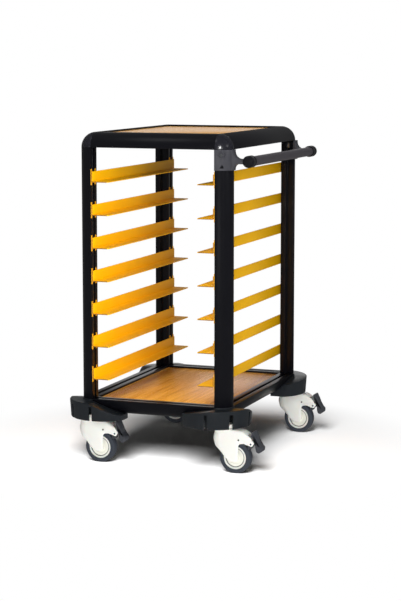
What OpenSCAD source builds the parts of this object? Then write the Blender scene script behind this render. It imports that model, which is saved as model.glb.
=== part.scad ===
// Tray return trolley: a slotted quarter-round frame on four braked casters, with seven
// pairs of tray rails, a laminate top and shelf, and a push handle on the right side.
// X runs across the open front, Y runs to the back, Z is up and the floor is at zero.

/* [Frame] */
// Width over the outer faces of the posts
frame_w = 505; // [455:1:605]
// Depth over the outer faces of the posts
frame_d = 707; // [607:1:807]
// Height of the top rim above the floor
frame_h = 1048; // [900:1:1250]
// Outer radius of the quarter-round extrusion
edge_r = 47; // [42:0.5:52]
// Skin of the extrusion round its hollow core
edge_skin = 3.5; // [2.5:0.5:5]
// Mouth of each T-slot
slot_mouth = 11; // [9:0.5:13]
// Width of each T-slot behind its lips
slot_w = 17; // [15:0.5:19]
// Depth of each T-slot
slot_deep = 12; // [10:0.5:14]
// Thickness of the lips beside the slot mouth
slot_lip = 3.5; // [2.5:0.5:4.5]
// Length of the corner spigots inside the hollow cores
spigot_l = 30; // [15:1:60]

/* [Panels] */
// Depth of a panel's face below the rim round it
panel_recess = 6; // [3:0.5:9]
// Thickness of the tongue that runs in the slots
tongue_t = 9; // [6:0.5:10]
// Reach of the tongue into the slots
tongue_deep = 8; // [5:0.5:9]

/* [Tray rails] */
// Pairs of rails
tiers = 7; // [3:1:9]
// Lowest rail above the bottom beams
first_rail_rise = 63; // [45:1:120]
// Highest rail below the top beams
last_rail_drop = 109; // [90:1:160]
// Height of the upright flange
rail_h = 34; // [25:1:40]
// Width of the carrying flange
rail_w = 56; // [35:1:75]
// Thickness of a rail's flanges
rail_t = 3; // [1.5:0.1:4]
// Inside radius between the flanges
rail_bend = 1; // [0.5:0.1:3]
// Corner radius of the carrying flange at both ends
rail_corner = 6; // [2:0.5:12]
// Thickness of a rail clip's plate
clip_t = 2; // [1.5:0.1:3]
// Width of a rail clip's plate
clip_w = 37; // [32:0.5:42]
// Width of each prong of a rail clip
prong_w = 7; // [4:0.5:9]
// Length of the prongs above and below the rail
prong_l = 8; // [3:0.5:12]

/* [Corner bumpers] */
// Radius of the bumper's round outline
bumper_r = 116; // [110:0.5:124]
// Centre of that outline, inward of the post's inner corner
bumper_in = 19; // [16:0.5:22]
// Height of the bumper at the corner
bumper_h = 58; // [52:0.5:66]
// Fall of the bumper's top along its steep arm
steep_fall = 47; // [36:0.5:50]
// Fall of the bumper's top along its gentle arm
gentle_fall = 19; // [10:0.5:30]
// Bend between the top and its falling arms
crown_r = 60; // [30:1:90]
// Draft of the outer wall from rim to foot
bumper_draft = 4; // [1:0.5:7]
// Rounding of the rim and the foot of the wall
bumper_round = 4; // [2:0.5:6]
// Wall of the bumper
bumper_wall = 6; // [4:0.5:8]
// Width of the vents in the wall
vent_w = 10; // [5:0.5:12]
// Height of the vents, which are open at the foot
vent_h = 46; // [20:1:48]
// Height of the collar round the foot of the post
collar_h = 4; // [2:0.5:8]
// Thickness of that collar
collar_t = 3; // [2:0.5:4]
// Height of the bumper's foot above the casters
bumper_gap = 3; // [2:0.5:6]
// Height of the bottom beams above the bumper's foot
beam_lift = 16; // [14:0.5:24]

/* [Push handle] */
// Diameter of the grip tube
grip_d = 30; // [25:0.5:34]
// Wall of the grip tube
grip_wall = 2; // [1.5:0.1:4]
// Axis of the grip beyond the frame's right side
grip_reach = 53; // [48:0.5:75]
// Axis of the grip below the top beams
grip_drop = 36; // [30:0.5:44]
// Diameter of the end caps
cap_d = 37; // [36:0.5:41]
// Length of the end caps
cap_l = 42; // [36:0.5:50]
// Length of tube inside each cap
cap_socket = 22; // [12:0.5:28]
// Height of the brackets on the posts
bracket_h = 63; // [56:0.5:75]
// Thickness of the brackets round the posts
bracket_t = 4; // [3:0.5:6]
// Width of the bracket's arm
arm_w = 26; // [18:0.5:32]
// Height of the arm's neck beside the cap
arm_neck = 15; // [10:0.5:20]
// Diameter of the bracket bolts
bolt_d = 6; // [4:0.5:8]

/* [Casters] */
// Wheel diameter
wheel_d = 100; // [90:1:112]
// Width of the tyre
tread_w = 32; // [28:0.5:38]
// Thickness of the tyre
tyre_t = 13; // [10:0.5:16]
// Trail of the axle behind the swivel axis
trail = 42; // [38:0.5:46]
// Swivel axis outward of the post's inner corner, along both sides
stem_out = 22; // [20:0.5:26]
// Thickness of the fork's cheeks
cheek_t = 6; // [4:0.5:8]
// Room beside the wheel inside the fork
wheel_side_gap = 2; // [1:0.25:4]
// Room round the tyre inside the hood
wheel_well_gap = 4; // [3:0.5:6]
// Rounding of the hood's edges
hood_round = 6; // [2:0.5:8]
// Diameter of the axle
axle_d = 8; // [6:0.5:10]
// Diameter of the swivel journal
journal_d = 18; // [14:0.5:20]
// Diameter of the threaded stem
stem_d = 12; // [10:0.5:14]
// Diameter of the swivel head inside the bumper
head_d = 84; // [74:1:88]
// Thickness of the swivel bearing ring
ring_t = 3; // [2:0.5:4]
// Width of the brake pedal
pedal_w = 40; // [34:0.5:48]

/* [Hidden] */
$fn = 72;
// Clearance between pieces that are plugged or laid together
fit = 0.15;
// Radial clearance of running fits
run_fit = 0.05;
// Clearance between faces that move past each other
move_gap = 0.4;
// Overrun of every cut
over = 1;

// Inner corner of the posts
corner_x = frame_w / 2 - edge_r;
corner_y = frame_d / 2 - edge_r;
slot_mid = edge_r / 2;
core_from = slot_deep + edge_skin;

// Heights, from the floor up
wheel_r = wheel_d / 2;
hood_top_share = 1.78;
hood_top = wheel_r + hood_top_share * wheel_r;
bumper_foot = hood_top + bumper_gap;
bumper_top = bumper_foot + bumper_h;
beam_foot = bumper_foot + beam_lift;
shelf_rim = beam_foot + edge_r;
post_sink = bumper_h / 5;
post_foot = bumper_top - post_sink;
top_under = frame_h - edge_r;
hub_foot = beam_foot + over;

// Rails
rail_foot_low = shelf_rim + first_rail_rise;
rail_foot_high = top_under - last_rail_drop;
rail_pitch = (rail_foot_high - rail_foot_low) / (tiers - 1);
rail_x = corner_x - clip_t;
clip_neck_h = rail_h * 2 / 3;

// Push handle
grip_x = frame_w / 2 + grip_reach;
grip_z = top_under - grip_drop;
cap_mid = corner_y + edge_r / 5;
cap_round = cap_d / 4;
cap_in = cap_mid - cap_l / 2;
groove_w = cap_l / 14;
groove_at = cap_l / 3;
bracket_foot = top_under - bracket_h;
fillet_share = 0.8;
boss_r = edge_r / 5;
bolt_z = top_under - bracket_h / 4;
recess_z = bracket_foot + bracket_h / 5;
recess_w = edge_r / 3;
recess_h = edge_r / 4;
recess_deep = bracket_t * 2;
head_share = 0.85;

// Casters
stem_x = corner_x + stem_out;
stem_y = corner_y + stem_out;
well_w = tread_w + 2 * wheel_side_gap;
fork_w = well_w + 2 * cheek_t;
axle_seat_share = 0.6;
axle_l = well_w + 2 * axle_seat_share * cheek_t;
head_top = hub_foot - ring_t - move_gap;
head_foot = hood_top - wheel_r / 5;
head_step = bumper_foot + bumper_gap;
head_gap = 6;
vent_in = 12;
journal_foot_share = 1.24;
journal_foot = wheel_r + journal_foot_share * wheel_r;
stem_top = post_foot - edge_skin;
rim_r = wheel_r - tyre_t;
boss_share = 0.26;
hub_r = boss_share * wheel_r;
tyre_round = tread_w / 6;
rim_in_share = 0.82;
disc_r_share = 0.77;
disc_share = 0.86;
wall_share = 0.88;
web_share = 0.55;

// The hood's side outline about the axle, in wheel radii, each with its corner radius
hood_shares = [
    [-1.38, 1.64, 0.16], [-1.50, 1.12, 0.50], [-1.38, 0.68, 0.30], [-0.64, 0.04, 0.40],
    [-0.34, -0.26, 0.05], [0.26, -0.26, 0.25], [0.26, 0.88, 0.16], [0.62, 0.92, 0.20],
    [1.14, 0.76, 0.10], [1.30, 1.00, 0.08], [1.04, 1.36, 0.20], [0.52, 1.70, 0.50],
    [0.05, 1.78, 0.80], [-0.70, 1.78, 0.60]
];
// The hood's nose in fork widths and its head's neck in head widths
nose_len_share = 0.8;
nose_root = hood_shares[1].x * wheel_r + nose_len_share * fork_w;
head_neck_share = 0.32;
// The pedal's pivot about the axle and its outline about that pivot, in wheel radii
pivot_shares = [1.10, 0.95];
pivot = [trail + pivot_shares.x * wheel_r, wheel_r + pivot_shares.y * wheel_r];
pedal_shares = [
    [-0.02, 0.76, 0.05], [0.0, 0.46, 0.20], [0.25, 0.08, 0.16], [0.26, -0.28, 0.20],
    [0.32, -0.50, 0.10], [0.48, -0.58, 0.12], [0.66, -0.46, 0.14], [0.68, -0.22, 0.14],
    [0.40, 0.02, 0.20], [0.34, 0.30, 0.30], [0.12, 0.78, 0.05]
];
pedal_round = 3;
web_reach_share = 0.30;
pin_share = 0.06;
lug_share = 0.16;
nose_share = 0.42;
nose_tip_share = 0.08;
nose_turn = 29;
ear_from_share = 0.84;

CORNERS = [["front_left", -1, -1], ["front_right", 1, -1], ["rear_left", -1, 1], ["rear_right", 1, 1]];
TIERS = [for (i = [1:tiers]) i];

// Outlines with rounded corners
function unit(v) = v / norm(v);
function turn_of(p, q, s) = (q.x - p.x) * (s.y - q.y) - (q.y - p.y) * (s.x - q.x) > 0 ? 1 : -1;
function inset_corner(p, q, s, k) =
    let (u = unit(p - q), v = unit(s - q))
    q + turn_of(p, q, s) * unit(u + v) * k / sin(acos(u * v) / 2);
function arc_corner(p, q, s, r, steps) =
    let (u = unit(p - q), v = unit(s - q), half = acos(u * v) / 2)
    let (mid = q + unit(u + v) * r / sin(half))
    let (from = q + u * r / tan(half) - mid, to = q + v * r / tan(half) - mid)
    let (start = atan2(from.y, from.x), sweep = (atan2(to.y, to.x) - start + 540) % 360 - 180)
    [for (i = [0:steps]) mid + r * [cos(start + sweep * i / steps), sin(start + sweep * i / steps)]];
// Corners are listed as x, y and radius, anticlockwise; k draws the outline in on all sides
function rounded(corners, k = 0, steps = 4) =
    let (n = len(corners), at = [for (c = corners) [c.x, c.y]])
    let (q = [for (i = [0:n - 1]) inset_corner(at[(i + n - 1) % n], at[i], at[(i + 1) % n], k)])
    [for (i = [0:n - 1])
        let (bend = turn_of(at[(i + n - 1) % n], at[i], at[(i + 1) % n]))
        let (r = max(corners[i].z - bend * k, k / 8))
        each corners[i].z == 0
            ? [q[i]]
            : arc_corner(q[(i + n - 1) % n], q[i], q[(i + 1) % n], r, steps)];
function scaled(shares, size) = [for (s = shares) s * size];

// Draws what lies before a root back toward it, so that the front is an ellipse from above
function nosed(x, y, half, root) = x < root ? root - (root - x) * sqrt(1 - pow(y / half, 2)) : x;

// An outline in X and Z, drawn across Y, with its two rims rounded and a nose before its root
module moulded(corners, width, round_r, root, rim_steps = 3, mid_steps = 1) {
    half = width / 2;
    levels = concat(
        [for (i = [0:rim_steps]) let (a = 90 * i / rim_steps)
            [round_r * (1 - cos(a)) - half, round_r * (1 - sin(a))]],
        [for (i = [1:1:mid_steps - 1]) [(half - round_r) * (2 * i / mid_steps - 1), 0]],
        [for (i = [rim_steps:-1:0]) let (a = 90 * i / rim_steps)
            [half - round_r * (1 - cos(a)), round_r * (1 - sin(a))]]
    );
    rings = [for (l = levels) rounded(corners, l[1])];
    n = len(rings[0]);
    m = len(levels);
    points = [for (j = [0:m - 1]) for (p = rings[j])
        [nosed(p.x, levels[j][0], half + over, root), levels[j][0], p.y]];
    sides = [for (j = [0:m - 2]) for (i = [0:n - 1])
        [j * n + i, j * n + (i + 1) % n, (j + 1) * n + (i + 1) % n, (j + 1) * n + i]];
    ends = [[for (i = [n - 1:-1:0]) i], [for (i = [0:n - 1]) (m - 1) * n + i]];
    polyhedron(points, concat(sides, ends));
}

module across_y(width) {
    rotate([90, 0, 0]) linear_extrude(width, center = true) children();
}

module rod_y(r, width) {
    rotate([90, 0, 0]) cylinder(r = r, h = width, center = true);
}

// Corner frame: +X and +Y point outward from the post's inner corner
module at_corner(side_x, side_y) {
    mirror([side_x < 0 ? 1 : 0, 0, 0]) mirror([0, side_y < 0 ? 1 : 0, 0])
        translate([corner_x, corner_y, 0]) children();
}

module quarter(r) {
    intersection() {
        circle(r);
        square(r + over);
    }
}

module both_flats() {
    children();
    mirror([1, -1, 0]) children();
}

module core_outline(gap) {
    intersection() {
        quarter(edge_r - edge_skin - gap);
        translate([core_from + gap, core_from + gap]) square(edge_r);
    }
}

// Section of the extrusion, with its inner corner at the origin
module edge_section() {
    difference() {
        quarter(edge_r);
        core_outline(0);
        both_flats() {
            translate([slot_mid - slot_mouth / 2, -over]) square([slot_mouth, slot_lip + 2 * over]);
            translate([slot_mid - slot_w / 2, slot_lip]) square([slot_w, slot_deep - slot_lip]);
        }
    }
}

module spigot() {
    linear_extrude(spigot_l) core_outline(fit);
}

// Along X: the section's x runs outward in Y and its y runs up
module lay_x() {
    rotate([90, 0, 90]) children();
}

// Along Y: the section's x runs outward in X and its y runs up
module lay_y() {
    mirror([0, 1, 0]) rotate([90, 0, 0]) children();
}

// On the right side a bracket bolt passes through the post and the spigot inside it
module bolt_hole(side_x) {
    if (side_x > 0) at_bolt() cylinder(d = bolt_d + 2 * fit, h = 2 * edge_r);
}

module post(side_x, side_y) {
    color("#17171b") at_corner(side_x, side_y) difference() {
        translate([0, 0, post_foot]) linear_extrude(top_under - post_foot) edge_section();
        bolt_hole(side_x);
    }
}

module beam_x(side_y) {
    mirror([0, side_y < 0 ? 1 : 0, 0]) translate([-corner_x, corner_y, 0])
        lay_x() linear_extrude(2 * corner_x) edge_section();
}

module beam_y(side_x) {
    mirror([side_x < 0 ? 1 : 0, 0, 0]) translate([corner_x, -corner_y, 0])
        lay_y() linear_extrude(2 * corner_y) edge_section();
}

module top_beam() {
    color("#17171b") translate([0, 0, top_under]) children();
}

module bottom_beam() {
    color("#17171b") translate([0, 0, shelf_rim]) mirror([0, 0, 1]) children();
}

// Spigots that reach back along both beams from the corner
module beam_spigots() {
    mirror([1, 0, 0]) lay_x() spigot();
    mirror([0, 1, 0]) lay_y() spigot();
}

module top_corner(side_x, side_y) {
    color("#1b1b1f") at_corner(side_x, side_y) difference() {
        translate([0, 0, top_under]) {
            intersection() {
                sphere(edge_r);
                cube(edge_r + over);
            }
            beam_spigots();
            mirror([0, 0, 1]) spigot();
        }
        bolt_hole(side_x);
    }
}

// A laminate panel under a rim, with tongues in the slots of the four beams
module panel(rim) {
    slot_z = rim - edge_r / 2;
    top = rim - panel_recess;
    foot = slot_z - tongue_t / 2;
    color("#d69a4e") translate([0, 0, foot]) {
        linear_extrude(top - foot) square([2 * (corner_x - fit), 2 * (corner_y - fit)], center = true);
        linear_extrude(tongue_t) {
            square([2 * (corner_x + tongue_deep), 2 * (corner_y - tongue_deep)], center = true);
            square([2 * (corner_x - tongue_deep), 2 * (corner_y + tongue_deep)], center = true);
        }
    }
}

module rail_section() {
    outer = rail_t + rail_bend;
    difference() {
        union() {
            translate([-rail_t, outer]) square([rail_t, rail_h - outer]);
            translate([-rail_w, 0]) square([rail_w - outer, rail_t]);
            translate([-outer, outer]) mirror([0, 1]) quarter(outer);
        }
        translate([-outer, outer]) circle(rail_bend);
    }
}

// A rail from above, with the free corners of its carrying flange rounded
module rail_plan() {
    half = frame_d / 2;
    polygon(rounded([
        [over, -half, 0], [over, half, 0], [-rail_w, half, rail_corner], [-rail_w, -half, rail_corner]
    ]));
}

function rail_foot(tier) = rail_foot_low + (tier - 1) * rail_pitch;

module tray_rails(tier) {
    color("#f0a818") for (side_x = [0, 1])
        mirror([side_x, 0, 0]) translate([rail_x, 0, rail_foot(tier)]) intersection() {
            across_y(frame_d) rail_section();
            linear_extrude(rail_h) rail_plan();
        }
}

// An H-shaped plate behind the rail's end, with a headed tongue in the post's slot
module rail_clip() {
    neck_w = slot_mouth - 2 * fit;
    head_w = slot_w - 2 * fit;
    neck_from = (rail_h - clip_neck_h) / 2;
    translate([-clip_t, edge_r - clip_w, 0]) {
        cube([clip_t, clip_w, rail_h]);
        for (y = [0, clip_w - prong_w])
            translate([0, y, -prong_l]) cube([clip_t, prong_w, rail_h + 2 * prong_l]);
    }
    translate([-clip_t, slot_mid - neck_w / 2, neck_from])
        cube([clip_t + slot_lip + 2 * fit, neck_w, clip_neck_h]);
    translate([slot_lip + fit, slot_mid - head_w / 2, neck_from])
        cube([slot_deep - slot_lip - 2 * fit, head_w, clip_neck_h]);
}

module rail_clips() {
    color("#e39a10") for (c = CORNERS) for (tier = TIERS)
        at_corner(c[1], c[2]) translate([0, 0, rail_foot(tier)]) rail_clip();
}

// The bumper's outer form, drawn in by k on its wall and top and run below its foot
module bumper_form(k, below, foot_round) {
    top_r = bumper_r - k;
    rise = bumper_h - k;
    intersection() {
        translate([-bumper_in, -bumper_in, 0]) rotate_extrude() polygon(rounded([
            [0, -below, 0], [top_r - bumper_draft, -below, foot_round],
            [top_r, rise, bumper_round], [0, rise, 0]
        ]));
        bumper_crown(k);
    }
}

// The bumper's top, which falls away along its steep arm in X and its gentle arm in Y
module bumper_crown(k) {
    intersection() {
        crown_slope(steep_fall, k);
        mirror([1, -1, 0]) crown_slope(gentle_fall, k);
    }
}

module crown_slope(fall, k) {
    reach = 4 * bumper_r;
    across_y(reach) polygon(rounded([
        [-reach, -reach, 0], [reach, -reach, 0], [reach, bumper_h, 0],
        [0, bumper_h, crown_r], [-reach, bumper_h - fall * reach / bumper_r, 0]
    ], k));
}

// The seats of the post and of the two beams, as cuts
module bumper_seats() {
    reach = 2 * bumper_r;
    translate([-reach, -reach, -over]) cube([reach, reach, bumper_h + 2 * over]);
    translate([0, 0, post_foot - bumper_foot]) linear_extrude(bumper_h) quarter(edge_r + fit);
    translate([0, 0, shelf_rim - bumper_foot]) mirror([0, 0, 1]) both_flats()
        mirror([1, 0, 0]) lay_x() linear_extrude(reach) quarter(edge_r + fit);
}

// The hollow behind the wall, kept off the solid that holds the post and the beams
module bumper_hollow() {
    reach = 2 * bumper_r;
    block = edge_r + bumper_wall;
    difference() {
        bumper_form(bumper_wall, over, 0);
        translate([0, 0, -2 * over]) linear_extrude(bumper_h) {
            quarter(block);
            translate([-reach, -reach]) square([reach, reach + block]);
            translate([-reach, -reach]) square([reach + block, reach]);
        }
    }
}

module bumper_vents() {
    reach = 2 * bumper_r;
    translate([0, 0, -over]) {
        both_flats() translate([-vent_in - vent_w / 2, edge_r + bumper_wall, 0])
            cube([vent_w, reach, vent_h + over]);
        rotate([0, 0, 45]) translate([edge_r + bumper_wall, -vent_w / 2, 0])
            cube([reach, vent_w, vent_h + over]);
    }
}

// One moulding serves all corners, turned from each to the next
module corner_bumper(side_x, side_y) {
    turn = 90 * (side_y > 0 ? 0 : 2) + 90 * (side_x == side_y ? 0 : 1);
    color("#33373b") translate([side_x * corner_x, side_y * corner_y, bumper_foot]) rotate(turn) {
        difference() {
            union() {
                bumper_form(0, 0, bumper_round);
                linear_extrude(bumper_h + collar_h) quarter(edge_r + collar_t);
            }
            bumper_seats();
            bumper_hollow();
            bumper_vents();
            translate([stem_out, stem_out, -over]) {
                cylinder(d = head_d + 2 * head_gap, h = hub_foot - bumper_foot + over);
                cylinder(d = stem_d + 2 * fit, h = stem_top - bumper_foot + fit + over);
            }
        }
        translate([0, 0, shelf_rim - bumper_foot]) mirror([0, 0, 1]) beam_spigots();
        translate([0, 0, post_foot - bumper_foot]) spigot();
    }
}

module grip_tube() {
    half = cap_in + cap_socket;
    color("#6b676c") translate([grip_x, 0, grip_z]) difference() {
        rod_y(grip_d / 2, 2 * half);
        rod_y(grip_d / 2 - grip_wall, 2 * (half + over));
    }
}

// Drawn along Z with its mouth at zero
module grip_cap_form() {
    difference() {
        rotate_extrude() polygon(rounded([
            [0, 0, 0], [cap_d / 2, 0, cap_round / 3], [cap_d / 2, cap_l, cap_round], [0, cap_l, 0]
        ]));
        translate([0, 0, -over]) cylinder(d = grip_d + 2 * fit, h = cap_socket + fit + over);
        translate([0, 0, groove_at]) difference() {
            cylinder(d = cap_d + 2 * over, h = groove_w);
            translate([0, 0, -over]) cylinder(d = cap_d - groove_w, h = groove_w + 2 * over);
        }
    }
}

module grip_cap(side_y) {
    color("#1c1c20") mirror([0, side_y < 0 ? 1 : 0, 0])
        translate([grip_x, cap_in, grip_z]) rotate([-90, 0, 0]) grip_cap_form();
}

// Along Y from the post's inner flat, at the height of the bracket bolt
module at_bolt() {
    translate([slot_mid, 0, bolt_z]) rotate([-90, 0, 0]) children();
}

// Side outline of the bracket's arm, from the post to the cap
function arm_corners() =
    let (root = edge_r - bracket_t, tip = grip_x - corner_x, side = edge_r + bracket_t)
    let (low = grip_z - arm_neck / 2, high = grip_z + arm_neck / 2, edge = bracket_t / 4)
    [
        [root, bracket_foot, edge], [side, bracket_foot, edge],
        [side, low, (low - bracket_foot) * fillet_share], [tip, low, edge],
        [tip, high, edge], [side, high, (top_under - high) * fillet_share],
        [side, top_under, edge], [root, top_under, edge]
    ];

module handle_bracket(side_y) {
    color("#3c3c41") at_corner(1, side_y) difference() {
        union() {
            translate([0, 0, bracket_foot]) linear_extrude(bracket_h) quarter(edge_r + bracket_t);
            translate([0, cap_mid - corner_y, 0]) across_y(arm_w) polygon(rounded(arm_corners()));
            at_bolt() cylinder(r = boss_r, h = edge_r + bracket_t);
        }
        translate([0, 0, bracket_foot - over]) linear_extrude(bracket_h + 2 * over) quarter(edge_r + fit);
        translate([grip_x - corner_x, cap_mid - corner_y, grip_z]) rod_y(cap_d / 2 + fit, 2 * cap_l);
        bolt_hole(1);
        translate([slot_mid, edge_r + bracket_t - recess_deep, recess_z]) rotate([-90, 0, 0])
            linear_extrude(edge_r) polygon(recess_points());
    }
}

function recess_points() =
    [[-recess_w / 2, recess_h / 2], [0, -recess_h / 2], [recess_w / 2, recess_h / 2]];

module bracket_bolts() {
    nut_deep = slot_deep - slot_lip - 2 * fit;
    nut_w = slot_w - 2 * fit;
    color("#505056") for (side_y = [-1, 1]) at_corner(1, side_y) at_bolt() {
        translate([0, 0, slot_lip + fit]) {
            cylinder(d = bolt_d, h = edge_r + bracket_t - slot_lip - fit);
            translate([-nut_w / 2, -nut_w / 2, 0]) cube([nut_w, nut_w, nut_deep]);
        }
        translate([0, 0, edge_r + bracket_t]) cylinder(r = bolt_d * head_share, h = bolt_d / 2);
    }
}

// Caster frame: the swivel axis stands at the origin and the wheel trails along +X
module at_caster(side_x, side_y) {
    translate([side_x * stem_x, side_y * stem_y, 0]) children();
}

module at_axle() {
    translate([trail, 0, wheel_r]) children();
}

module at_pivot() {
    translate([pivot.x, 0, pivot.y]) children();
}

module caster_stems() {
    color("#b9bcc0") for (c = CORNERS) at_caster(c[1], c[2]) rotate_extrude() polygon([
        [0, journal_foot], [journal_d / 2, journal_foot], [journal_d / 2, head_top],
        [stem_d / 2, head_top], [stem_d / 2, stem_top], [0, stem_top]
    ]);
}

module swivel_bearings() {
    color("#9a9da1") for (c = CORNERS) at_caster(c[1], c[2])
        translate([0, 0, hub_foot - ring_t]) difference() {
            cylinder(r = stem_out - bumper_wall / 4, h = ring_t);
            translate([0, 0, -over]) cylinder(d = stem_d + 2 * fit, h = ring_t + 2 * over);
        }
}

module caster_fork(side_x, side_y) {
    color("#f2f2ee") at_caster(side_x, side_y) difference() {
        union() {
            at_axle() moulded(scaled(hood_shares, wheel_r), fork_w, hood_round, nose_root, mid_steps = 6);
            swivel_head();
        }
        at_axle() {
            rod_y(wheel_r + wheel_well_gap, well_w);
            rod_y(axle_d / 2 + fit, axle_l + 2 * fit);
            translate([ear_from_share * wheel_r, -well_w / 2, 0]) cube([wheel_r, well_w, wheel_d]);
        }
        at_pivot() rod_y(pin_share * wheel_r + run_fit, fork_w + 2 * over);
        translate([0, 0, journal_foot - move_gap]) cylinder(d = journal_d + 2 * run_fit, h = wheel_d);
    }
}

// The head that turns inside the bumper, on a narrower neck
module swivel_head() {
    rotate_extrude() polygon([
        [0, head_foot], [head_neck_share * head_d, head_foot], [head_neck_share * head_d, head_step],
        [head_d / 2, head_step], [head_d / 2, head_top], [0, head_top]
    ]);
}

module caster_axle(side_x, side_y) {
    color("#b9bcc0") at_caster(side_x, side_y) at_axle() rod_y(axle_d / 2, axle_l);
}

module wheel_hub(side_x, side_y) {
    bore = axle_d / 2 + run_fit;
    hub_half = well_w / 2 - move_gap;
    rim_half = tread_w / 2 - tyre_round / 2;
    disc_half = rim_half * disc_share;
    web_half = rim_half * web_share;
    rim_in = rim_r * rim_in_share;
    disc_r = rim_r * disc_r_share;
    step_r = (hub_r + disc_r) / 2;
    step_half = (disc_half + web_half) / 2;
    half = [
        [bore, hub_half], [hub_r, hub_half], [hub_r, step_half], [step_r, step_half],
        [step_r, disc_half], [disc_r, disc_half], [disc_r, web_half], [rim_in, web_half],
        [rim_in, rim_half], [rim_r, rim_half]
    ];
    color("#ecebe2") at_caster(side_x, side_y) at_axle() rotate([90, 0, 0]) rotate_extrude()
        polygon(concat(half, [for (i = [len(half) - 1:-1:0]) [half[i].x, -half[i].y]]));
}

module wheel_tyre(side_x, side_y) {
    inner = rim_r + run_fit;
    half = tread_w / 2;
    wall_r = wall_share * wheel_r;
    tread_half = half - tyre_round / 5;
    color("#3b4048") at_caster(side_x, side_y) at_axle() rotate([90, 0, 0]) rotate_extrude()
        polygon(rounded([
            [inner, -half, 0], [wall_r, -half, 0], [wall_r, -tread_half, 0],
            [wheel_r, -tread_half, tyre_round], [wheel_r, tread_half, tyre_round],
            [wall_r, tread_half, 0], [wall_r, half, 0], [inner, half, 0]
        ]));
}

module brake_pedal(side_x, side_y) {
    lug_r = lug_share * wheel_r;
    tip_r = nose_tip_share * wheel_r;
    tip = nose_share * wheel_r;
    web = web_reach_share * wheel_r;
    color("#474c51") at_caster(side_x, side_y) at_pivot() {
        moulded(scaled(pedal_shares, wheel_r), pedal_w, pedal_round, pedal_shares[0].x * wheel_r);
        rod_y(pin_share * wheel_r, fork_w - 2 * fit);
        across_y(tread_w) {
            circle(lug_r);
            translate([0, -lug_r / 2]) square([web, lug_r]);
            rotate(-nose_turn) polygon(rounded([
                [-tip_r, 0, 0], [-tip_r, -tip, tip_r / 2], [tip_r, -tip, tip_r / 2], [tip_r, 0, 0]
            ]));
        }
    }
}

for (c = CORNERS) post(c[1], c[2]);
top_beam() beam_x(-1);  // top_beam_front
top_beam() beam_x(1);  // top_beam_rear
top_beam() beam_y(-1);  // top_beam_left
top_beam() beam_y(1);  // top_beam_right
bottom_beam() beam_x(-1);  // bottom_beam_front
bottom_beam() beam_x(1);  // bottom_beam_rear
bottom_beam() beam_y(-1);  // bottom_beam_left
bottom_beam() beam_y(1);  // bottom_beam_right
for (c = CORNERS) top_corner(c[1], c[2]);
for (c = CORNERS) corner_bumper(c[1], c[2]);
panel(frame_h);  // top_panel
panel(shelf_rim);  // shelf_panel
for (tier = TIERS) tray_rails(tier);
rail_clips();
grip_tube();
grip_cap(-1);  // grip_cap_front
grip_cap(1);  // grip_cap_rear
handle_bracket(-1);  // handle_bracket_front
handle_bracket(1);  // handle_bracket_rear
bracket_bolts();
caster_stems();
swivel_bearings();
for (c = CORNERS) caster_fork(c[1], c[2]);
for (c = CORNERS) caster_axle(c[1], c[2]);
for (c = CORNERS) wheel_hub(c[1], c[2]);
for (c = CORNERS) wheel_tyre(c[1], c[2]);
for (c = CORNERS) brake_pedal(c[1], c[2]);
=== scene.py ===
"""Looks of a tray return trolley: its finishes, its moulded details and a small photo studio."""

import math

import bmesh
import bpy
from mathutils import Matrix, Vector


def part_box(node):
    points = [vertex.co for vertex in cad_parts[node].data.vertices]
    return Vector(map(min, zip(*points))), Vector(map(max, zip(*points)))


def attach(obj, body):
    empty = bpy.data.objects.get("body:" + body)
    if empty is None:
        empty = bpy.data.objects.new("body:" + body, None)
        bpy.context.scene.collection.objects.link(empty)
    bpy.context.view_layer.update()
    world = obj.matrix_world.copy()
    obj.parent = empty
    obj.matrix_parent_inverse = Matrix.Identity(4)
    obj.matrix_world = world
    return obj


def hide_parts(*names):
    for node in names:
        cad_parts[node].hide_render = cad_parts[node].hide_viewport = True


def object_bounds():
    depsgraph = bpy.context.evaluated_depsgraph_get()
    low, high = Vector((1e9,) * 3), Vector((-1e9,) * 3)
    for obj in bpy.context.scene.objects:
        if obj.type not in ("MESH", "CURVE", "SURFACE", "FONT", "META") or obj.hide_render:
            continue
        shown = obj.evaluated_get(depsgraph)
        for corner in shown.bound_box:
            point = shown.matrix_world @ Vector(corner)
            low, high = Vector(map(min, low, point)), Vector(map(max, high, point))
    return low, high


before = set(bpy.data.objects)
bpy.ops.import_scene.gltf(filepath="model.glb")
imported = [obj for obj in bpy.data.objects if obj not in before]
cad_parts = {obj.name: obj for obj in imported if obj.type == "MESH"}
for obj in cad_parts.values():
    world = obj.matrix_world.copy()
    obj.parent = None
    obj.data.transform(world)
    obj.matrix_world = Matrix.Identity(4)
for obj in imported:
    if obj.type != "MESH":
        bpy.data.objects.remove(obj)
cad_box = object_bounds()

bl_info = {
    "name": "Tray Return Trolley",
    "version": (1, 0, 0),
    "blender": (4, 5, 0),
    "location": "View3D > Sidebar > Trolley",
    "description": "Finishes, moulded details and a studio for a tray return trolley",
    "category": "Object",
}

MM = 0.001
# Points closer than this are one point
MERGE = 0.002 * MM
# Faces that turn by less than this lie in one plane
FLAT = math.radians(0.6)
# Edges that turn by more than this are rounded, in so many steps
SHARP = math.radians(28)
ROUND_STEPS = 2
# Edges that turn by more than this shade sharp, on most pieces and on the lofted mouldings
CREASE = math.radians(35)
LOFT_CREASE = math.radians(42)
# A face looks along an axis where its normal has more than this share there
FACING = 0.9
RIVET_SIDES = 16
CORNERS = ("front_left", "front_right", "rear_left", "rear_right")
BEAMS = ("front", "rear", "left", "right")
ENDS = ("front", "rear")
TIERS = range(1, 8)


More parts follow.
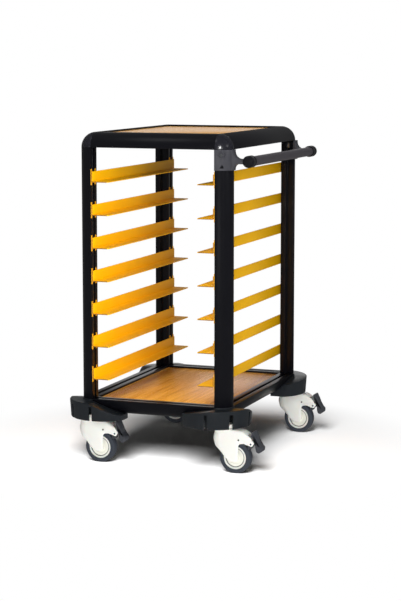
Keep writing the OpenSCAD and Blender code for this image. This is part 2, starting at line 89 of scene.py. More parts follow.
def linear(hex_code):
    """Linear red, green and blue of an sRGB hex value."""
    shares = [int(hex_code[i : i + 2], 16) / 255 for i in (0, 2, 4)]
    return [s / 12.92 if s <= 0.04045 else ((s + 0.055) / 1.055) ** 2.4 for s in shares]


def colour(name, description, hex_code):
    """A colour property whose default is an sRGB hex value."""
    return bpy.props.FloatVectorProperty(
        name=name,
        description=description,
        subtype="COLOR",
        size=3,
        min=0,
        max=1,
        default=linear(hex_code),
    )


def length(name, description, metres):
    """A length property in metres."""
    return bpy.props.FloatProperty(
        name=name, description=description, unit="LENGTH", precision=5, min=0, default=metres
    )


def point(name, description, metres):
    """A place property in metres."""
    return bpy.props.FloatVectorProperty(
        name=name, description=description, subtype="TRANSLATION", default=metres
    )


def angle(name, description, radians):
    """An angle property."""
    return bpy.props.FloatProperty(name=name, description=description, subtype="ANGLE", default=radians)


def power(name, description, watts):
    """The power of a lamp."""
    return bpy.props.FloatProperty(name=name, description=description, unit="POWER", min=0, default=watts)


def level(name, description, share):
    """A strength of light, where 1 is white."""
    return bpy.props.FloatProperty(name=name, description=description, min=0, default=share)


class TrolleySizes(bpy.types.PropertyGroup):
    """Soft edges and small fittings of the pieces."""

    extrusion_edge: length("Extrusion edges", "Rounding of the extrusions and top corners", 0.6 * MM)
    panel_edge: length("Panel edges", "Rounding of the laminate panels", 0.8 * MM)
    rail_edge: length("Rail edges", "Rounding of the rails and their clips", 0.4 * MM)
    bumper_edge: length("Bumper edges", "Rounding of the corner bumpers", 1.5 * MM)
    bumper_tail: length("Bumper tails", "Length cut off the bumpers' arms", 28 * MM)
    vent_half: length("Vent", "Half the width of a bumper's corner vent in the solids", 5 * MM)
    vent_gain: length("Vent gain", "How far each wall of a corner vent moves out", 1.6 * MM)
    bracket_edge: length("Bracket edges", "Rounding of the handle brackets", 1.0 * MM)
    recess_deep: length("Recess", "Depth of the recesses in the handle brackets", 8 * MM)
    cap_edge: length("Cap edges", "Rounding of the grip caps and bolts", 0.5 * MM)
    groove_in: length("Groove, inner", "Inner radius of the groove round a hub's disc", 27.8 * MM)
    groove_out: length("Groove, outer", "Outer radius of the groove round a hub's disc", 31.0 * MM)
    hub_edge: length("Hub edges", "Rounding of the hubs", 0.6 * MM)
    tyre_edge: length("Tyre edges", "Rounding of the tyres, whose walls end in a small step", 0.3 * MM)
    rivet_r: length("Rivets", "Radius of the rivets in the forks", 2.8 * MM)
    rivet_out: length("Rivet reach", "Distance of a rivet from the axle towards the pedal", 15 * MM)
    rivet_up: length("Rivet height", "Height of a rivet above the axle", 58 * MM)


class TrolleyColours(bpy.types.PropertyGroup):
    """Colours of the finishes."""

    frame_black: colour("Frame", "Powder coat of the extrusions", "0D0D12")
    corner_black: colour("Top corners", "Moulded top corners", "131318")
    bumper_charcoal: colour("Bumpers", "Corner bumpers", "1D2125")
    wood_light: colour("Light wood", "Early wood in the laminate's print", "E9AC47")
    wood_dark: colour("Dark wood", "Late wood in the laminate's print", "CB8B2E")
    rail_amber: colour("Rails", "Coat of the tray rails", "FCBD0A")
    # Dark brown of the rail ends: painted shade on the faces that look along the rails
    rail_end_shade: colour("Rail ends", "Painted shade on the sawn ends of the tray rails", "7A5014")
    clip_amber: colour("Rail clips", "Moulded clips behind the rails", "F0AC18")
    grip_grey: colour("Grip", "Sleeve of the push handle", "403D42")
    cap_black: colour("Grip caps", "Caps of the push handle", "101015")
    bracket_grey: colour("Brackets", "Brackets of the push handle", "3E3E44")
    fork_white: colour("Forks", "Caster forks", "E8E8E2")
    hub_white: colour("Hubs", "Wheel hubs", "EAE9DE")
    # Grey of the hub grooves: painted shade in the hollow between disc and rim
    hub_groove_shade: colour("Hub grooves", "Painted shade in the grooves of the hubs", "8F908C")
    tyre_slate: colour("Tyres", "Wheel tyres", "383D46")
    pedal_grey: colour("Pedals", "Brake pedals", "3C3E44")
    steel: colour("Steel", "Zinc plate on axles, stems and bolts", "B9BCC0")
    # Dark underside of the panels: painted shade, so that no warm light bounces into the floor's shadow
    underside_shade_brown: colour("Backing", "Underside of the laminate panels", "241D19")


class TrolleyStudio(bpy.types.PropertyGroup):
    """Camera and light of the studio."""

    camera_place: point("Camera", "Place of the camera", (2.0849, -5.5247, 1.2950))
    camera_turn: angle("Turn", "Turn of the camera to the left of straight on", 0.3563)
    camera_drop: angle("Drop", "Tilt of the camera below the horizon", 0.1364)
    camera_lens: bpy.props.FloatProperty(
        name="Lens", description="Focal length of the camera", unit="CAMERA", default=108.4
    )
    room_level: level("Room", "Strength of the room's soft light", 0.06)
    mirror_level: level("Mirrored room", "Strength of the dim room that gloss mirrors", 0.14)
    card_place: point("Card place", "Place of the white card that gloss mirrors", (-0.8, 2.6, 1.0))
    card_size: length("Card size", "Width of the white card", 1.5)
    card_power: power("Card", "Power of the white card", 5.5)
    sheen_place: point("Sheen place", "Place of the white card that the shelf mirrors", (-0.2, 2.6, 1.0))
    sheen_size: length("Sheen size", "Width of the card for the shelf", 1.5)
    sheen_power: power("Sheen", "Power of the card for the shelf", 4.5)
    strip_place: point("Strip place", "Place of the card overhead that gloss mirrors", (-0.9, -1.4, 3.6))
    strip_size: length("Strip size", "Width of the card overhead", 1.0)
    strip_power: power("Strip", "Power of the card overhead", 5)
    front_place: point("Front place", "Place of the low light from the front", (1.4, -5.0, 0.9))
    front_size: length("Front size", "Width of the low light from the front", 1.0)
    front_power: power("Front", "Power of the low light from the front", 8)
    key_place: point("Key place", "Place of the front light", (2.4, -4.3, 1.5))
    key_size: length("Key size", "Width of the front light", 3.2)
    key_power: power("Key", "Power of the front light", 150)
    spot_place: point("Spot place", "Place of the small light that marks the corners", (2.03, -4.86, 2.2))
    spot_size: length("Spot size", "Width of the small light", 1.0)
    spot_power: power("Spot", "Power of the small light", 220)
    side_place: point("Side place", "Place of the light on the right", (4.8, -0.81, 3.0))
    side_size: length("Side size", "Width of the light on the right", 0.8)
    side_power: power("Side", "Power of the light on the right", 12)
    fill_place: point("Fill place", "Place of the wide light on the right", (4.0, -1.2, 1.4))
    fill_size: length("Fill size", "Width of the wide light on the right", 2.6)
    fill_power: power("Fill", "Power of the wide light on the right", 25)
    back_place: point("Back place", "Place of the wide light behind the trolley", (-2.0, 4.5, 1.6))
    back_size: length("Back size", "Width of the wide light behind the trolley", 3.0)
    back_power: power("Back", "Power of the wide light behind the trolley", 90)
    top_place: point("Top place", "Place of the overhead light", (-0.3, 0.0, 6.0))
    top_size: length("Top size", "Width of the overhead light", 2.6)
    top_power: power("Top", "Power of the overhead light", 175)
    shelf_place: point("Shelf place", "Place of the light that falls on the shelf alone", (0.2, -3.6, 3.4))
    shelf_size: length("Shelf size", "Width of the light for the shelf", 1.2)
    shelf_power: power("Shelf", "Power of the light for the shelf", 150)
    rails_place: point("Rails place", "Place of the light that falls on the rails alone", (0.6, -2.2, 1.2))
    rails_size: length("Rails size", "Width of the light for the rails", 0.5)
    rails_power: power("Rails", "Power of the light for the rails", 34)
    sky_place: point("Sky place", "Place of the light that lights the floor alone", (0.6, -3.6, 3.0))
    sky_size: length("Sky size", "Width of the light for the floor", 1.7)
    sky_depth: length("Sky depth", "Depth of the light for the floor", 2.2)
    sky_power: power("Sky", "Power of the light for the floor", 400)
    floor_reach: length("Floor", "Half the width of the floor", 40.0)
    floor_white: level("Floor white", "Share of the light that the floor gives back", 0.9)
    shadow_reach: length("Shadow", "Reach of the floor that takes the shadow", 0.9)


def add_node(tree, kind, inputs=None, **settings):
    """Adds a node, sets it, and feeds its inputs with values or with other nodes' outputs."""
    node = tree.nodes.new(kind)
    for key, value in settings.items():
        setattr(node, key, value)
    for key, value in (inputs or {}).items():
        if isinstance(value, bpy.types.NodeSocket):
            tree.links.new(value, node.inputs[key])
        else:
            node.inputs[key].default_value = value
    return node


def start_material(name, base, **sockets):
    """A material, its node tree, its shader, and the piece's own coordinates in metres."""
    material = bpy.data.materials.new(name)
    material.use_nodes = True
    tree = material.node_tree
    tree.nodes.clear()
    shader = add_node(tree, "ShaderNodeBsdfPrincipled", {"Base Color": (*base, 1)})
    for key, value in sockets.items():
        shader.inputs[key.replace("_", " ")].default_value = value
    add_node(tree, "ShaderNodeOutputMaterial", {"Surface": shader.outputs[0]})
    place = add_node(tree, "ShaderNodeTexCoord").outputs["Object"]
    return material, tree, shader, place


def roughen(tree, shader, place, grain, depth, low, high):
    """Grain of a real size in metres, raised by a depth in metres, with roughness from low to high."""
    noise = add_node(tree, "ShaderNodeTexNoise", {"Vector": place, "Scale": 1 / grain, "Detail": 3})
    spread = add_node(
        tree, "ShaderNodeMapRange", {"Value": noise.outputs["Fac"], "To Min": low, "To Max": high}
    )
    bump = add_node(
        tree, "ShaderNodeBump", {"Height": noise.outputs["Fac"], "Strength": 1.0, "Distance": depth}
    )
    tree.links.new(spread.outputs[0], shader.inputs["Roughness"])
    tree.links.new(bump.outputs[0], shader.inputs["Normal"])


def mottle(tree, shader, place, base, patch, spread):
    """Slow changes of tone over patches of a real size in metres, spread about the base colour."""
    noise = add_node(tree, "ShaderNodeTexNoise", {"Vector": place, "Scale": 1 / patch, "Detail": 2})
    tone = add_node(
        tree,
        "ShaderNodeMapRange",
        {"Value": noise.outputs["Fac"], "To Min": 1 - spread, "To Max": 1 + spread},
    )
    mixed = add_node(
        tree, "ShaderNodeVectorMath", {0: tuple(base), "Scale": tone.outputs[0]}, operation="SCALE"
    )
    tree.links.new(mixed.outputs[0], shader.inputs["Base Color"])


def powder_coat(name, colours):
    """Black polyester powder on extruded aluminium: a satin skin with a fine orange peel."""
    base = colours.frame_black
    material, tree, shader, place = start_material(name, base, IOR=1.45, Specular_IOR_Level=0.35)
    mottle(tree, shader, place, base, patch=60 * MM, spread=0.12)
    roughen(tree, shader, place, grain=1.4 * MM, depth=0.02 * MM, low=0.30, high=0.40)
    return material


def gloss_abs(name, colours):
    """Black ABS from a polished mould: deep gloss with a faint flow mottle."""
    base = colours.corner_black
    material, tree, shader, place = start_material(name, base, IOR=1.53, Specular_IOR_Level=0.4)
    mottle(tree, shader, place, base, patch=25 * MM, spread=0.10)
    roughen(tree, shader, place, grain=0.9 * MM, depth=0.015 * MM, low=0.18, high=0.28)
    return material


def grained_polypropylene(name, colours):
    """Charcoal polypropylene from a spark-eroded mould: a fine, even grain with a satin sheen."""
    base = colours.bumper_charcoal
    material, tree, shader, place = start_material(name, base, IOR=1.49, Specular_IOR_Level=0.5)
    mottle(tree, shader, place, base, patch=30 * MM, spread=0.12)
    roughen(tree, shader, place, grain=1.1 * MM, depth=0.05 * MM, low=0.28, high=0.40)
    return material


def wood_laminate(name, colours):
    """High-pressure laminate with a beech print along the depth: long streaks under a satin overlay."""
    streak_wide = 9 * MM
    streak_long = 190 * MM
    # Shares of the pattern below which the print is dark and above which it is light
    dark_share = 0.34
    light_share = 0.62
    material, tree, shader, place = start_material(
        name, colours.wood_light, IOR=1.5, Specular_IOR_Level=0.3
    )
    streaks = add_node(
        tree, "ShaderNodeMapping", {"Vector": place, "Scale": (1 / streak_wide, 1 / streak_long, 1)}
    )
    grain = add_node(
        tree,
        "ShaderNodeTexNoise",
        {"Vector": streaks.outputs[0], "Scale": 1, "Detail": 6, "Distortion": 0.5},
    )
    ramp = add_node(tree, "ShaderNodeValToRGB", {"Fac": grain.outputs["Fac"]})
    dark, light = ramp.color_ramp.elements
    dark.position = dark_share
    dark.color = (*colours.wood_dark, 1)
    light.position = light_share
    light.color = (*colours.wood_light, 1)
    tree.links.new(ramp.outputs[0], shader.inputs["Base Color"])
    roughen(tree, shader, place, grain=0.8 * MM, depth=0.01 * MM, low=0.22, high=0.32)
    return material


def shade_backing(name, colours):
    """A plain dark brown sheet under the laminate, dull and a little blotchy: painted shade that keeps
    warm light from bouncing into the floor's shadow.
    """
    base = colours.underside_shade_brown
    material, tree, shader, place = start_material(name, base, IOR=1.55)
    mottle(tree, shader, place, base, patch=20 * MM, spread=0.15)
    roughen(tree, shader, place, grain=0.8 * MM, depth=0.02 * MM, low=0.45, high=0.60)
    return material


def amber_coat(name, colours):
    """Amber powder on folded sheet steel: an even, half-gloss skin with a light orange peel."""
    base = colours.rail_amber
    material, tree, shader, place = start_material(name, base, IOR=1.5, Specular_IOR_Level=0.2)
    mottle(tree, shader, place, base, patch=80 * MM, spread=0.05)
    roughen(tree, shader, place, grain=1.6 * MM, depth=0.015 * MM, low=0.30, high=0.40)
    return material


def end_shade_coat(name, colours):
    """Ends of the rails, dull and brown: painted shade on the faces that look along the rails."""
    base = colours.rail_end_shade
    material, tree, shader, place = start_material(name, base, IOR=1.5, Specular_IOR_Level=0.2)
    mottle(tree, shader, place, base, patch=3 * MM, spread=0.15)
    roughen(tree, shader, place, grain=0.6 * MM, depth=0.03 * MM, low=0.55, high=0.70)
    return material


def amber_nylon(name, colours):
    """Amber nylon clips: moulded, a little duller than the coat of the rails."""
    base = colours.clip_amber
    material, tree, shader, place = start_material(name, base, IOR=1.53)
    mottle(tree, shader, place, base, patch=12 * MM, spread=0.08)
    roughen(tree, shader, place, grain=0.8 * MM, depth=0.02 * MM, low=0.38, high=0.50)
    return material


def vinyl_sleeve(name, colours):
    """Grey vinyl sleeve on the grip: soft satin with fine lengthwise drawing lines."""
    # The lines are this many times longer than wide
    stretch = 50
    base = colours.grip_grey
    material, tree, shader, place = start_material(name, base, IOR=1.52)
    mottle(tree, shader, place, base, patch=40 * MM, spread=0.06)
    lines = add_node(tree, "ShaderNodeMapping", {"Vector": place, "Scale": (1, 1 / stretch, 1)})
    roughen(tree, shader, lines.outputs[0], grain=1.2 * MM, depth=0.03 * MM, low=0.34, high=0.46)
    return material


def cap_abs(name, colours):
    """Black ABS caps on the grip, glossy from handling."""
    base = colours.cap_black
    material, tree, shader, place = start_material(name, base, IOR=1.53)
    mottle(tree, shader, place, base, patch=15 * MM, spread=0.10)
    roughen(tree, shader, place, grain=0.8 * MM, depth=0.015 * MM, low=0.28, high=0.40)
    return material


def filled_nylon(name, colours):
    """Grey glass-filled nylon brackets: satin with short fibre flecks."""
    base = colours.bracket_grey
    material, tree, shader, place = start_material(name, base, IOR=1.53, Specular_IOR_Level=0.7)
    mottle(tree, shader, place, base, patch=4 * MM, spread=0.18)
    roughen(tree, shader, place, grain=0.7 * MM, depth=0.03 * MM, low=0.30, high=0.48)
    return material


def white_nylon(name, colours):
    """White nylon caster forks: bright, slightly waxy, from a fine matt mould."""
    base = colours.fork_white
    material, tree, shader, place = start_material(
        name, base, IOR=1.53, Subsurface_Weight=0.12, Subsurface_Scale=2 * MM
    )
    mottle(tree, shader, place, base, patch=35 * MM, spread=0.015)
    roughen(tree, shader, place, grain=0.9 * MM, depth=0.015 * MM, low=0.28, high=0.38)
    return material


def hub_nylon(name, colours):
    """Cream-white nylon hubs, a shade warmer and duller than the forks."""
    base = colours.hub_white
    material, tree, shader, place = start_material(name, base, IOR=1.53)
    mottle(tree, shader, place, base, patch=20 * MM, spread=0.02)
    roughen(tree, shader, place, grain=0.8 * MM, depth=0.02 * MM, low=0.36, high=0.48)
    return material


def groove_shade_nylon(name, colours):
    """Nylon in the hubs' grooves, greyed as painted shade in the hollow."""
    base = colours.hub_groove_shade
    material, tree, shader, place = start_material(name, base, IOR=1.53)
    mottle(tree, shader, place, base, patch=8 * MM, spread=0.12)
    roughen(tree, shader, place, grain=0.8 * MM, depth=0.03 * MM, low=0.55, high=0.75)
    return material


def tyre_rubber(name, colours):
    """Slate thermoplastic rubber tyres: an even satin with a slight mottle."""
    base = colours.tyre_slate
    material, tree, shader, place = start_material(name, base, IOR=1.52)
    mottle(tree, shader, place, base, patch=10 * MM, spread=0.10)
    roughen(tree, shader, place, grain=0.7 * MM, depth=0.03 * MM, low=0.38, high=0.55)
    return material


def pedal_nylon(name, colours):
    """Dark grey nylon pedals: satin, blotched by the scuffs of shoes."""
    base = colours.pedal_grey
    material, tree, shader, place = start_material(name, base, IOR=1.53)
    mottle(tree, shader, place, base, patch=6 * MM, spread=0.20)
    roughen(tree, shader, place, grain=0.8 * MM, depth=0.03 * MM, low=0.34, high=0.52)
    return material


def zinc_plate(name, colours):
    """Bright zinc plate on turned steel: a cool metal with a slight haze."""
    base = colours.steel
    material, tree, shader, place = start_material(name, base, Metallic=1.0)
    mottle(tree, shader, place, base, patch=8 * MM, spread=0.08)
    roughen(tree, shader, place, grain=0.6 * MM, depth=0.01 * MM, low=0.26, high=0.38)
    return material


FINISHES = {
    "black_extrusion": ("Powder-coated aluminium", powder_coat),
    "black_corner": ("Polished black ABS", gloss_abs),
    "bumper_plastic": ("Grained polypropylene", grained_polypropylene),
    "laminate": ("Wood laminate", wood_laminate),
    "panel_backing": ("Phenolic backing", shade_backing),
    "amber_rail": ("Amber powder-coated steel", amber_coat),
    "rail_ends": ("Sawn amber coat", end_shade_coat),
    "amber_clip": ("Amber nylon", amber_nylon),
    "grip_grey": ("Vinyl sleeve", vinyl_sleeve),
    "cap_black": ("Handled black ABS", cap_abs),
    "bracket_plastic": ("Glass-filled nylon", filled_nylon),
    "white_nylon": ("White nylon", white_nylon),
    "white_hub": ("Cream nylon", hub_nylon),
    "hub_groove": ("Dusty nylon", groove_shade_nylon),
    "grey_tyre": ("Thermoplastic rubber", tyre_rubber),
    "pedal_plastic": ("Dark nylon", pedal_nylon),
    "zinc_steel": ("Zinc-plated steel", zinc_plate),
}


def finish(slot):
    """The material of a slot, made on first use."""
    name, make = FINISHES[slot]
    return bpy.data.materials.get(name) or make(name, bpy.context.scene.trolley_colours)


def dress(slot, *names):
    """Gives CAD nodes the finish of a slot."""
    for name in names:
        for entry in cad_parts[name].material_slots:
            entry.material = finish(slot)


def each(prefix, endings):
    """Names of a row of like nodes."""
    return [f"{prefix}_{ending}" for ending in endings]


def join_flats(bm):
    """Joins faces that lie in one plane."""
    bmesh.ops.dissolve_limit(bm, angle_limit=FLAT, verts=bm.verts, edges=bm.edges)


def middle_of(name):
    """The middle of a CAD node's box."""
    low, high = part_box(name)
    return (low + high) / 2


def node_copy(name):
    """A CAD node as a new mesh, with its doubled points merged and its flat faces joined."""
    bm = bmesh.new()
    bm.from_mesh(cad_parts[name].data)
    bmesh.ops.remove_doubles(bm, verts=bm.verts, dist=MERGE)
    join_flats(bm)
    return bm


def soften(bm, width):
    """Rounds every sharp edge."""
    sharp = [edge for edge in bm.edges if edge.calc_face_angle(0) > SHARP]
    bmesh.ops.bevel(
        bm,
        geom=sharp,
        offset=width,
        offset_type="OFFSET",
        affect="EDGES",
        segments=ROUND_STEPS,
        profile=0.5,
        material=-1,
        clamp_overlap=True,
    )


def new_piece(name, bm, body, slot, *nodes, crease=CREASE):
    """Makes a mesh a piece that rides on a body, takes a slot's finish and stands for CAD nodes."""
    mesh = bpy.data.meshes.new(name)
    bm.to_mesh(mesh)
    bm.free()
    mesh.shade_smooth()
    mesh.set_sharp_from_angle(angle=crease)
    mesh.materials.append(finish(slot))
    piece = bpy.data.objects.new(name, mesh)
    bpy.context.scene.collection.objects.link(piece)
    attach(piece, body)
    if nodes:
        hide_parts(*nodes)
    return piece


def soft_piece(name, body, width, slots, pick=None):
    """Stands a soft-edged copy in for a CAD node, whose faces may pick among several slots."""
    bm = node_copy(name)
    soften(bm, width)
    if pick:
        for face in bm.faces:
            face.material_index = int(pick(face))
    piece = new_piece(f"soft_{name}", bm, body, slots[0], name)
    for slot in slots[1:]:
        piece.data.materials.append(finish(slot))


def soft_pieces(slot, body, width, *names):
    """Stands soft-edged copies in for CAD nodes of one finish."""
    for name in names:
        soft_piece(name, body, width, (slot,))


def smooth_piece(name, body, slot):
    """Stands a copy in for a CAD node that is a lofted moulding, whose edges are soft already."""
    new_piece(f"smooth_{name}", node_copy(name), body, slot, name, crease=LOFT_CREASE)


class TROLLEY_OT_frame(bpy.types.Operator):
    """Softens and finishes the slotted extrusions and the top corners."""

    bl_idname = "trolley.frame"
    bl_label = "Frame"

    def execute(self, context):
        edge = context.scene.trolley_sizes.extrusion_edge
        soft_pieces("black_extrusion", "frame", edge, *each("post", CORNERS))
        soft_pieces("black_extrusion", "frame", edge, *each("top_beam", BEAMS))
        soft_pieces("black_extrusion", "frame", edge, *each("bottom_beam", BEAMS))
        soft_pieces("black_corner", "frame", edge, *each("top_corner", CORNERS))
        return {"FINISHED"}


def trim_arms(bm, corner, tail):
    """Cuts both arms of a bumper off square, a little inside the ends of its box."""
    low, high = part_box(f"corner_bumper_{corner}")
    for axis in (0, 1):
        end = high if low[axis] + high[axis] < 0 else low
        inward = Vector((0, 0, 0))
        inward[axis] = 1 if end is high else -1
        cut = bmesh.ops.bisect_plane(
            bm,
            geom=[*bm.verts, *bm.edges, *bm.faces],
            dist=MERGE,
            plane_co=end - inward * tail,
            plane_no=inward,
            clear_outer=True,
        )
        rim = [item for item in cut["geom_cut"] if isinstance(item, bmesh.types.BMEdge)]
        bmesh.ops.triangle_fill(bm, edges=rim, use_beauty=True, normal=inward)
    join_flats(bm)


def widen_vent(bm, corner, half, gain):
    """Moves the two walls of the vent in a bumper's corner away from the diagonal of the post."""
    post = middle_of(f"post_{corner}").xy
    out = Vector((math.copysign(1, post.x), math.copysign(1, post.y))).normalized()
    for vert in bm.verts:
        side = out.cross(vert.co.xy - post)
        if abs(abs(side) - half) < MERGE:
            vert.co.xy += out.orthogonal() * math.copysign(gain, side)


class TROLLEY_OT_bumpers(bpy.types.Operator):
    """Trims the corner bumpers, widens their vents, softens and finishes them."""

    bl_idname = "trolley.bumpers"
    bl_label = "Corner Bumpers"

    def execute(self, context):
        sizes = context.scene.trolley_sizes
        for corner in CORNERS:
            name = f"corner_bumper_{corner}"
            bm = node_copy(name)
            trim_arms(bm, corner, sizes.bumper_tail)
            widen_vent(bm, corner, sizes.vent_half, sizes.vent_gain)
            soften(bm, sizes.bumper_edge)
            new_piece(f"soft_{name}", bm, "frame", "bumper_plastic", name)
        return {"FINISHED"}


def looks_down(face):
    """Whether a face looks down, as the backing of a panel does."""
    return face.normal.z < -FACING


class TROLLEY_OT_panels(bpy.types.Operator):
    """Softens and finishes the laminate top and shelf, with a dark underside of painted shade."""

    bl_idname = "trolley.panels"
    bl_label = "Panels"

    def execute(self, context):
        edge = context.scene.trolley_sizes.panel_edge
        for name in ("top_panel", "shelf_panel"):
            # Faces that look down take the dark backing of painted shade
            soft_piece(name, "frame", edge, ("laminate", "panel_backing"), looks_down)
        return {"FINISHED"}


def looks_along(face):
    """Whether a face looks along the rails, as their sawn ends do."""
    return abs(face.normal.y) > FACING


class TROLLEY_OT_rails(bpy.types.Operator):
    """Softens and finishes the tray rails, with painted shade on their sawn ends, and the clips behind
    them.
    """

    bl_idname = "trolley.rails"
    bl_label = "Tray Rails"

    def execute(self, context):
        edge = context.scene.trolley_sizes.rail_edge
        for name in each("tray_rails", TIERS):
            # Faces that look along the rails take the painted shade of their ends
            soft_piece(name, "frame", edge, ("amber_rail", "rail_ends"), looks_along)
        soft_pieces("amber_clip", "frame", edge, "rail_clips")
        return {"FINISHED"}


def shaded_bracket(name, sizes):
    """A soft-edged handle bracket whose recess is black inside: partly the black post behind it, partly
    painted shade.
    """
    bottom = max(abs(end.y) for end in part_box(name)) - sizes.recess_deep

    def in_recess(face):
        return all(abs(abs(vert.co.y) - bottom) < MERGE for vert in face.verts)

    # Faces on the floor of the recess take the black of the caps, partly as painted shade
    soft_piece(name, "frame", sizes.bracket_edge, ("bracket_plastic", "cap_black"), in_recess)


class TROLLEY_OT_handle(bpy.types.Operator):
    """Softens and finishes the push handle."""

    bl_idname = "trolley.handle"
    bl_label = "Push Handle"

    def execute(self, context):
        sizes = context.scene.trolley_sizes
        dress("grip_grey", "grip_tube")
        soft_pieces("cap_black", "frame", sizes.cap_edge, *each("grip_cap", ENDS))
        for name in each("handle_bracket", ENDS):
            shaded_bracket(name, sizes)
        soft_pieces("zinc_steel", "frame", sizes.cap_edge, "bracket_bolts")
        return {"FINISHED"}


def fork_rivets(corner, sizes):
    """Two domed rivets, one in each cheek of a caster fork, level with the ends of the pedal's pin."""
    axle = middle_of(f"wheel_tyre_{corner}")
    bm = bmesh.new()
    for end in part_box(f"brake_pedal_{corner}"):
        spot = Vector((axle.x + sizes.rivet_out, end.y, axle.z + sizes.rivet_up))
        bmesh.ops.create_uvsphere(
            bm,
            u_segments=RIVET_SIDES,
            v_segments=RIVET_SIDES // 2,
            radius=sizes.rivet_r,
            matrix=Matrix.Translation(spot),
        )
    return bm


def ringed_hub(corner, sizes):
    """A soft-edged wheel hub with a grey groove of painted shade between its cream disc and its white rim.
    """
    name = f"wheel_hub_{corner}"
    axle = middle_of(name)
    slots = ("white_hub", "hub_groove", "white_nylon")
    disc, groove, rim = range(len(slots))

    def ring(face):
        reach = [math.hypot(vert.co.x - axle.x, vert.co.z - axle.z) for vert in face.verts]
        if min(reach) <= sizes.groove_in:
            return disc
        # Faces inside the groove take the grey of painted shade
        return groove if max(reach) < sizes.groove_out else rim

    soft_piece(name, f"wheel_{corner}", sizes.hub_edge, slots, ring)


class TROLLEY_OT_casters(bpy.types.Operator):
    """Finishes the forks, wheels and pedals of the casters."""

    bl_idname = "trolley.casters"
    bl_label = "Casters"

    def execute(self, context):
        sizes = context.scene.trolley_sizes
        for corner in CORNERS:
            swivel = f"swivel_{corner}"
            smooth_piece(f"caster_fork_{corner}", swivel, "white_nylon")
            smooth_piece(f"brake_pedal_{corner}", f"pedal_{corner}", "pedal_plastic")
            new_piece(f"fork_rivets_{corner}", fork_rivets(corner, sizes), swivel, "pedal_plastic")
            ringed_hub(corner, sizes)
            soft_pieces("grey_tyre", f"wheel_{corner}", sizes.tyre_edge, f"wheel_tyre_{corner}")
        dress("zinc_steel", *each("caster_axle", CORNERS), "caster_stems", "swivel_bearings")
        return {"FINISHED"}


def white_room(scene, studio):
    """A world that shows white, lights gently and looks dim in gloss."""
    world = bpy.data.worlds.new("White room")
    scene.world = world
    world.use_nodes = True
    tree = world.node_tree
    tree.nodes.clear()
    path = add_node(tree, "ShaderNodeLightPath").outputs
    mirrored = add_node(
        tree, "ShaderNodeMath", {0: path["Is Glossy Ray"], 1: studio.mirror_level}, operation="MULTIPLY"
    )
    lit = add_node(
        tree, "ShaderNodeMath", {0: path["Is Diffuse Ray"], 1: studio.room_level}, operation="MULTIPLY"
    )
    strength = path["Is Camera Ray"]
    for share in (path["Is Transmission Ray"], mirrored.outputs[0], lit.outputs[0]):
        largest = add_node(tree, "ShaderNodeMath", {0: strength, 1: share}, operation="MAXIMUM")
        strength = largest.outputs[0]
    light = add_node(tree, "ShaderNodeBackground", {"Color": (1, 1, 1, 1), "Strength": strength})
    add_node(tree, "ShaderNodeOutputWorld", {"Surface": light.outputs[0]})


def stage_plane(name, half):
    """A flat square of the stage, level at the origin, and the tree of its new material."""
    bm = bmesh.new()
    bmesh.ops.create_grid(bm, x_segments=1, y_segments=1, size=half)
    mesh = bpy.data.meshes.new(name)
    bm.to_mesh(mesh)
    bm.free()
    plane = bpy.data.objects.new(name, mesh)
    bpy.context.scene.collection.objects.link(plane)
    material = bpy.data.materials.new(name)
    material.use_nodes = True
    material.node_tree.nodes.clear()
    mesh.materials.append(material)
    return plane, material.node_tree


def white_floor(studio):
    """A matt white floor that takes the shadow near the trolley and runs out to plain white."""
    floor, tree = stage_plane("floor", studio.floor_reach)
    floor.visible_glossy = False
    place = add_node(tree, "ShaderNodeTexCoord").outputs["Object"]
    away = add_node(tree, "ShaderNodeVectorMath", {0: place}, operation="LENGTH").outputs["Value"]
    reach = studio.shadow_reach
    far = add_node(
        tree,
        "ShaderNodeMapRange",
        {"Value": away, "From Min": reach / 2, "From Max": reach},
        interpolation_type="SMOOTHSTEP",
    )
    path = add_node(tree, "ShaderNodeLightPath").outputs
    seen = add_node(
        tree,
        "ShaderNodeMath",
        {0: path["Is Camera Ray"], 1: path["Is Transmission Ray"]},
        operation="MAXIMUM",
    )
    shown = add_node(
        tree, "ShaderNodeMath", {0: far.outputs[0], 1: seen.outputs[0]}, operation="MULTIPLY"
    )
    share = studio.floor_white
    matt = add_node(tree, "ShaderNodeBsdfDiffuse", {"Color": (share, share, share, 1)})
    white = add_node(tree, "ShaderNodeEmission", {"Color": (1, 1, 1, 1), "Strength": 1})
    mixed = add_node(
        tree, "ShaderNodeMixShader", {0: shown.outputs[0], 1: matt.outputs[0], 2: white.outputs[0]}
    )
    add_node(tree, "ShaderNodeOutputMaterial", {"Surface": mixed.outputs[0]})
    return floor


def softbox(name, studio, target):
    """A square area light that faces a point."""
    lamp = bpy.data.lights.new(name, "AREA")
    lamp.size = getattr(studio, f"{name}_size")
    lamp.energy = getattr(studio, f"{name}_power")
    light = bpy.data.objects.new(name, lamp)
    light.location = getattr(studio, f"{name}_place")
    light.rotation_euler = (target - light.location).to_track_quat("-Z", "Y").to_euler()
    bpy.context.scene.collection.objects.link(light)
    return light


def link_light(light, state, *things):
    """Lets a light fall on some things alone, or on everything but them."""
    group = bpy.data.collections.new(f"{light.name}_receivers")
    for thing in things:
        group.objects.link(thing)
    for entry in group.collection_objects:
        entry.light_linking.link_state = state
    light.light_linking.receiver_collection = group


# Lamps on the whole trolley, those of them that show in gloss, and those that leave the rails out
LAMPS = ("key", "side", "front", "fill", "back", "top")
MIRRORED = {"side", "front"}
OFF_RAILS = {"side", "fill"}


def dressed(*names):
    """The soft-edged pieces that stand for CAD nodes."""
    return [bpy.data.objects[f"soft_{name}"] for name in names]


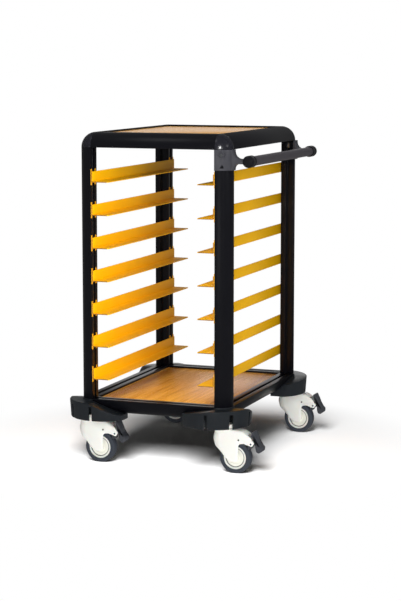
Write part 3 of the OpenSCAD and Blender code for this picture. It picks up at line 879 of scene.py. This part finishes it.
def light_trolley(studio, floor):
    """Sets up the lamps of the trolley, each on the pieces that it is for, and none on the floor."""
    middle = (cad_box[0] + cad_box[1]) / 2
    rails = dressed(*each("tray_rails", TIERS))
    shelf = dressed("shelf_panel")
    dull = dressed("top_beam_right", "top_corner_rear_right")
    for name in LAMPS:
        light = softbox(name, studio, middle)
        light.visible_glossy = name in MIRRORED
        link_light(light, "EXCLUDE", floor, *(rails if name in OFF_RAILS else ()))
    link_light(softbox("spot", studio, middle), "INCLUDE", *dressed(*each("top_corner", CORNERS)))
    card, strip, sheen = [softbox(name, studio, middle) for name in ("card", "strip", "sheen")]
    for light in (card, strip, sheen):
        light.data.diffuse_factor = 0
    link_light(strip, "EXCLUDE", floor)
    link_light(card, "EXCLUDE", floor, *rails, *dull, *shelf)
    link_light(softbox("rails", studio, middle), "INCLUDE", *rails)
    for light in (sheen, softbox("shelf", studio, middle)):
        link_light(light, "INCLUDE", *shelf)


def light_floor(studio, floor):
    """Lights the floor alone with a wide lamp in front, which gives the soft shadow."""
    sky = softbox("sky", studio, Vector())
    sky.data.shape = "RECTANGLE"
    sky.data.size_y = studio.sky_depth
    link_light(sky, "INCLUDE", floor)


def add_camera(scene, studio):
    """Puts up the camera, turned to the left and tilted down."""
    lens = bpy.data.cameras.new("camera")
    lens.lens = studio.camera_lens
    camera = bpy.data.objects.new("camera", lens)
    turn, drop = studio.camera_turn, studio.camera_drop
    ahead = Vector((-math.sin(turn) * math.cos(drop), math.cos(turn) * math.cos(drop), -math.sin(drop)))
    camera.location = studio.camera_place
    camera.rotation_euler = ahead.to_track_quat("-Z", "Y").to_euler()
    scene.collection.objects.link(camera)
    scene.camera = camera


class TROLLEY_OT_studio(bpy.types.Operator):
    """Makes the floor, the lights and the camera."""

    bl_idname = "trolley.studio"
    bl_label = "Studio"

    def execute(self, context):
        scene = context.scene
        studio = scene.trolley_studio
        scene.view_settings.view_transform = "Standard"
        white_room(scene, studio)
        floor = white_floor(studio)
        light_trolley(studio, floor)
        light_floor(studio, floor)
        add_camera(scene, studio)
        return {"FINISHED"}


STEPS = (
    TROLLEY_OT_frame,
    TROLLEY_OT_bumpers,
    TROLLEY_OT_panels,
    TROLLEY_OT_rails,
    TROLLEY_OT_handle,
    TROLLEY_OT_casters,
    TROLLEY_OT_studio,
)


class TROLLEY_PT_sidebar(bpy.types.Panel):
    """Lists the trolley's steps and its sizes and colours."""

    bl_idname = "TROLLEY_PT_sidebar"
    bl_label = "Tray Return Trolley"
    bl_space_type = "VIEW_3D"
    bl_region_type = "UI"
    bl_category = "Trolley"

    def draw(self, context):
        for step in STEPS:
            self.layout.operator(step.bl_idname)
        scene = context.scene
        for group in (scene.trolley_sizes, scene.trolley_colours, scene.trolley_studio):
            column = self.layout.column()
            for key in group.__annotations__:
                column.prop(group, key)


CLASSES = (TrolleySizes, TrolleyColours, TrolleyStudio, *STEPS, TROLLEY_PT_sidebar)


def register():
    """Registers the classes and gives the scene their settings."""
    for item in CLASSES:
        bpy.utils.register_class(item)
    bpy.types.Scene.trolley_sizes = bpy.props.PointerProperty(type=TrolleySizes)
    bpy.types.Scene.trolley_colours = bpy.props.PointerProperty(type=TrolleyColours)
    bpy.types.Scene.trolley_studio = bpy.props.PointerProperty(type=TrolleyStudio)


def unregister():
    """Takes the settings off the scene and the classes out again."""
    del bpy.types.Scene.trolley_studio
    del bpy.types.Scene.trolley_colours
    del bpy.types.Scene.trolley_sizes
    for item in reversed(CLASSES):
        bpy.utils.unregister_class(item)


def main():
    """Builds the dressed trolley and its studio."""
    register()
    bpy.ops.trolley.frame()
    bpy.ops.trolley.bumpers()
    bpy.ops.trolley.panels()
    bpy.ops.trolley.rails()
    bpy.ops.trolley.handle()
    bpy.ops.trolley.casters()
    bpy.ops.trolley.studio()


if __name__ == "__main__":
    main()
